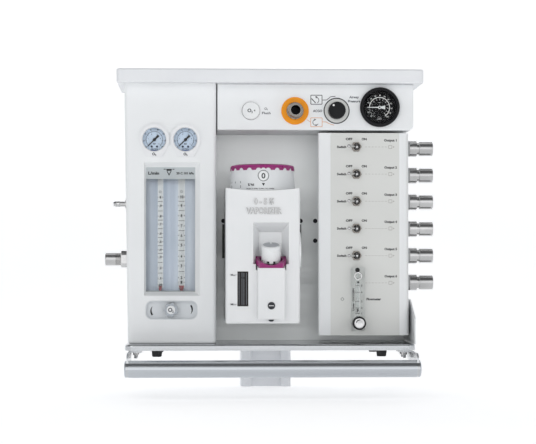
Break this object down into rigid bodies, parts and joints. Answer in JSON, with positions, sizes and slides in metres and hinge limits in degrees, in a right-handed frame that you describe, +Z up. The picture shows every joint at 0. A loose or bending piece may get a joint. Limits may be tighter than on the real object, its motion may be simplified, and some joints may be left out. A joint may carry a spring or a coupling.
{
  "type": "anesthesia machine",
  "caption": "Veterinary anesthesia machine head on a post, with flow tubes, gauges, a vaporizer, switched gas outputs along one side, a shelf on top and a front handle.",
  "frame": {"origin": "centre of the post's bottom face", "axes": "+Z up, the controls face -Y, +X to the right as seen from the front"},
  "size_m": [0.5011, 0.3565, 0.4884],
  "materials": {
    "housing_white": "satin powder coat",
    "tray_white": "fine moulded texture",
    "column_white": "powder coated",
    "vaporizer_white": "painted casting",
    "polished_steel": "polished stainless",
    "satin_steel": "satin stainless sheet",
    "tube_steel": "satin stainless tube",
    "fitting_chrome": "plated brass",
    "gauge_body": "plain steel can",
    "bezel_white": "moulded",
    "clear": "clear",
    "sight_dark": "dark window",
    "backplate": "bright anodised",
    "block_metal": "machined",
    "insert_grey": "moulded grey",
    "knob_white": "moulded white",
    "knob_black": "moulded black",
    "flow_knob": "moulded light grey",
    "brass_valve": "machined",
    "spring_steel": "wire",
    "ring_orange": "moulded orange",
    "gauge_black": "moulded black",
    "needle_black": "painted black",
    "needle_white": "painted white",
    "float_red": "moulded red",
    "ball_black": "ball",
    "valve_metal": "plated brass",
    "lever_metal": "polished",
    "meter_knob": "turned, black rim",
    "mount_dark": "black anodised",
    "dial_white": "moulded white",
    "agent_purple": "moulded purple",
    "screw_dark": "blackened",
    "foot_rubber": "black rubber",
    "cap_grey": "moulded grey"
  },
  "bodies": {
    "head": {"column": "column_white", "column_cap": "cap_grey", "column_bracket": "block_metal", "base_plate": "polished_steel", "rubber_feet": "foot_rubber", "handle_brackets": "polished_steel", "bracket_bolts": "fitting_chrome", "handle_tube": "tube_steel", "handle_end_caps": "tube_steel", "back_panel": "satin_steel", "rear_housing": "housing_white", "top_tray": "tray_white", "side_cheek": "housing_white", "left_cabinet": "housing_white", "gauge_bezels": "bezel_white", "gauge_cases": "gauge_body", "gauge_lenses": "clear", "flow_window": "clear", "flow_backplate": "backplate", "flow_blocks": "block_metal", "flow_tubes": "clear", "knob_recess": "insert_grey", "needle_valve_body": "brass_valve", "hose_barb": "fitting_chrome", "inlet_connector": "fitting_chrome", "upper_box": "housing_white", "flush_valve_body": "block_metal", "flush_spring": "spring_steel", "outlet_ring": "ring_orange", "gas_outlet": "fitting_chrome", "airway_gauge_case": "gauge_black", "right_box": "housing_white", "toggle_valves": "valve_metal", "flowmeter_block": "clear", "output_connectors": "fitting_chrome", "vaporizer_mount": "mount_dark", "vaporizer_body": "vaporizer_white", "filler_block": "vaporizer_white", "filler_collar": "agent_purple", "sight_glass": "sight_dark"},
    "supply_needle_left": {"supply_needle_left": "needle_black"},
    "supply_needle_right": {"supply_needle_right": "needle_black"},
    "flow_float_low": {"flow_float_low": "float_red"},
    "flow_float_high": {"flow_float_high": "float_red"},
    "oxygen_flow_knob": {"oxygen_flow_knob": "flow_knob"},
    "flush_button": {"flush_button": "knob_white"},
    "selector_knob": {"selector_knob": "knob_black"},
    "airway_needle": {"airway_needle": "needle_white"},
    "flowmeter_ball": {"flowmeter_ball": "ball_black"},
    "flowmeter_knob": {"flowmeter_knob": "meter_knob"},
    "vaporizer_dial": {"vaporizer_dial": "dial_white", "dial_cap": "agent_purple"},
    "zero_button": {"zero_button": "knob_white"},
    "filler_cap": {"filler_cap": "knob_white"},
    "drain_screw": {"drain_screw": "screw_dark"},
    "toggle_lever_1": {"toggle_lever_1": "lever_metal"},
    "toggle_lever_2": {"toggle_lever_2": "lever_metal"},
    "toggle_lever_3": {"toggle_lever_3": "lever_metal"},
    "toggle_lever_4": {"toggle_lever_4": "lever_metal"},
    "toggle_lever_5": {"toggle_lever_5": "lever_metal"}
  },
  "joints": [
    {"name": "supply_gauge_left", "type": "hinge", "parent": "head", "child": "supply_needle_left", "pos_m": [-0.1738, -0.2, 0.3833], "axis": [0, 1, 0], "range_deg": [0, 270]},
    {"name": "supply_gauge_right", "type": "hinge", "parent": "head", "child": "supply_needle_right", "pos_m": [-0.1271, -0.2, 0.3833], "axis": [0, 1, 0], "range_deg": [0, 270]},
    {"name": "flow_low_rise", "type": "slide", "parent": "head", "child": "flow_float_low", "axis": [0, 0, 1], "range_m": [0, 0.172]},
    {"name": "flow_high_rise", "type": "slide", "parent": "head", "child": "flow_float_high", "axis": [0, 0, 1], "range_m": [0, 0.172]},
    {"name": "oxygen_flow_turn", "type": "hinge", "parent": "head", "child": "oxygen_flow_knob", "pos_m": [-0.1484, -0.205, 0.128], "axis": [0, -1, 0], "range_deg": [0, 720]},
    {"name": "flush_press", "type": "slide", "parent": "head", "child": "flush_button", "axis": [0, 1, 0], "range_m": [0, 0.004], "stiffness_N_per_m": 600, "springref_m": -0.003, "deforming": ["flush_spring"]},
    {"name": "circuit_select", "type": "hinge", "parent": "head", "child": "selector_knob", "pos_m": [0.1004, -0.21, 0.4273], "axis": [0, -1, 0], "range_deg": [0, 112]},
    {"name": "airway_gauge", "type": "hinge", "parent": "head", "child": "airway_needle", "pos_m": [0.1655, -0.201, 0.4327], "axis": [0, 1, 0], "range_deg": [-40, 225]},
    {"name": "flowmeter_rise", "type": "slide", "parent": "head", "child": "flowmeter_ball", "axis": [0, 0, 1], "range_m": [0, 0.04]},
    {"name": "flowmeter_turn", "type": "hinge", "parent": "head", "child": "flowmeter_knob", "pos_m": [0.1324, -0.22, 0.1082], "axis": [0, -1, 0], "range_deg": [0, 720]},
    {"name": "dial_turn", "type": "hinge", "parent": "head", "child": "vaporizer_dial", "pos_m": [-0.0115, -0.196, 0.33], "axis": [0, 0, 1], "range_deg": [0, 285]},
    {"name": "zero_press", "type": "slide", "parent": "vaporizer_dial", "child": "zero_button", "axis": [0, 1, 0], "range_m": [0, 0.002], "stiffness_N_per_m": 500, "springref_m": -0.002},
    {"name": "filler_cap_turn", "type": "hinge", "parent": "head", "child": "filler_cap", "pos_m": [-0.0004, -0.244, 0.204], "axis": [0, -0.2924, 0.9563], "range_deg": [0, 720]},
    {"name": "drain_screw_turn", "type": "hinge", "parent": "head", "child": "drain_screw", "pos_m": [-0.0004, -0.262, 0.1356], "axis": [0, -1, 0], "range_deg": [0, 720]},
    {"name": "output_switch_1", "type": "hinge", "parent": "head", "child": "toggle_lever_1", "pos_m": [0.1302, -0.2056, 0.373], "axis": [0, 0, 1], "range_deg": [0, 72]},
    {"name": "output_switch_2", "type": "hinge", "parent": "head", "child": "toggle_lever_2", "pos_m": [0.1302, -0.2056, 0.332], "axis": [0, 0, 1], "range_deg": [0, 72]},
    {"name": "output_switch_3", "type": "hinge", "parent": "head", "child": "toggle_lever_3", "pos_m": [0.1302, -0.2056, 0.291], "axis": [0, 0, 1], "range_deg": [0, 72]},
    {"name": "output_switch_4", "type": "hinge", "parent": "head", "child": "toggle_lever_4", "pos_m": [0.1302, -0.2056, 0.25], "axis": [0, 0, 1], "range_deg": [0, 72]},
    {"name": "output_switch_5", "type": "hinge", "parent": "head", "child": "toggle_lever_5", "pos_m": [0.1302, -0.2056, 0.209], "axis": [0, 0, 1], "range_deg": [0, 72]}
  ]
}
